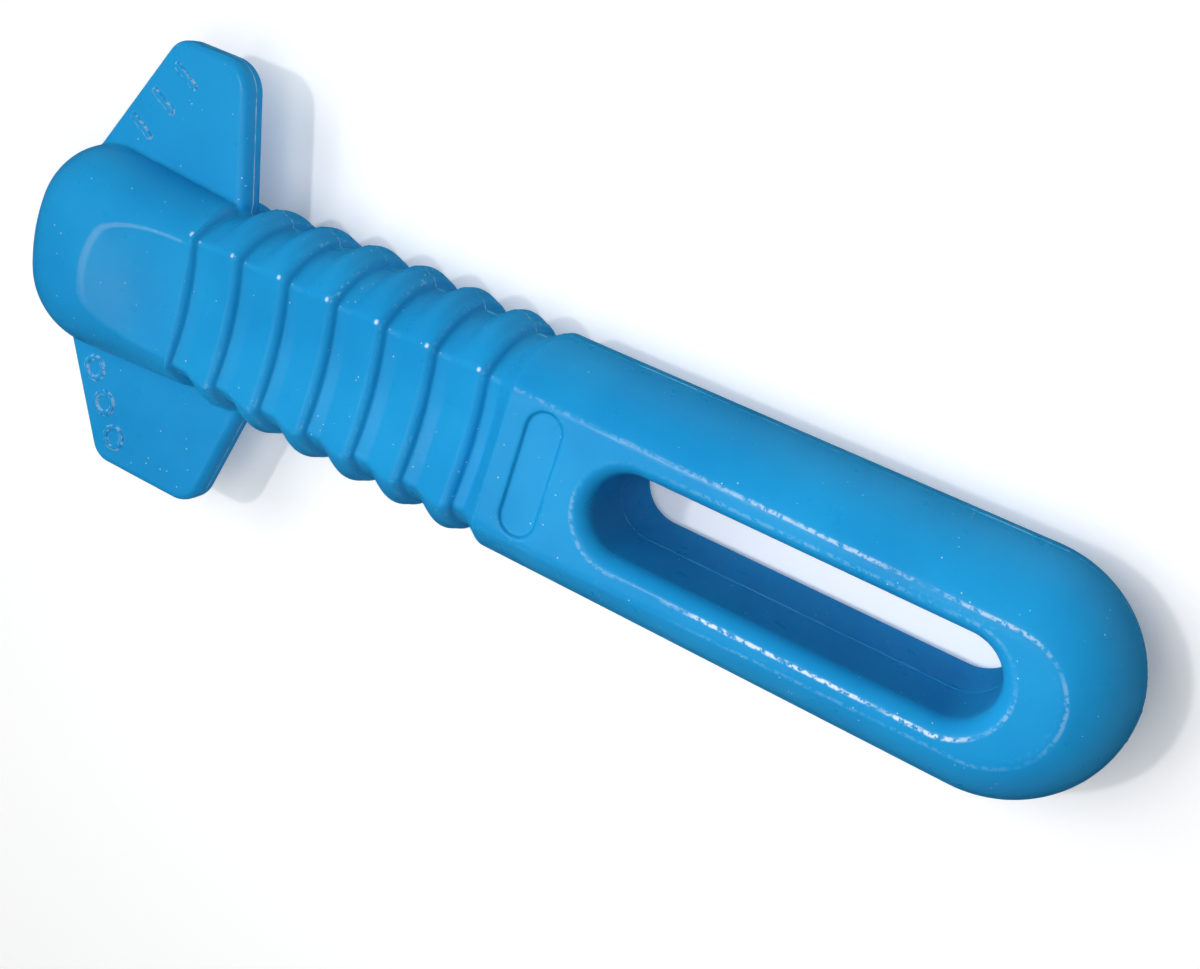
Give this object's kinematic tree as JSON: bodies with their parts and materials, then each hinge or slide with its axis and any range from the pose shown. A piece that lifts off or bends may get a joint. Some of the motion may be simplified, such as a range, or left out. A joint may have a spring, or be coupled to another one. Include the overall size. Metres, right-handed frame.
{
  "type": "algae scraper",
  "caption": "Plastic hand scraper with a dished head, a wing-shaped blade plate through it, a ribbed grip and a long handle with a hanging slot.",
  "frame": {"origin": "under the middle of the object, on the plane of the rear flat that it lies on", "axes": "+X along the body from the head to the slotted handle end, +Y towards the shorter-rooted wing, +Z from the rear face up to the front face"},
  "size_m": [0.1464, 0.0572, 0.02],
  "materials": {
    "body": "satin moulded blue plastic",
    "wings": "satin moulded blue plastic"
  },
  "bodies": {
    "root": {"front_shell": "body", "rear_shell": "body", "wing_plate": "wings"}
  },
  "joints": []
}
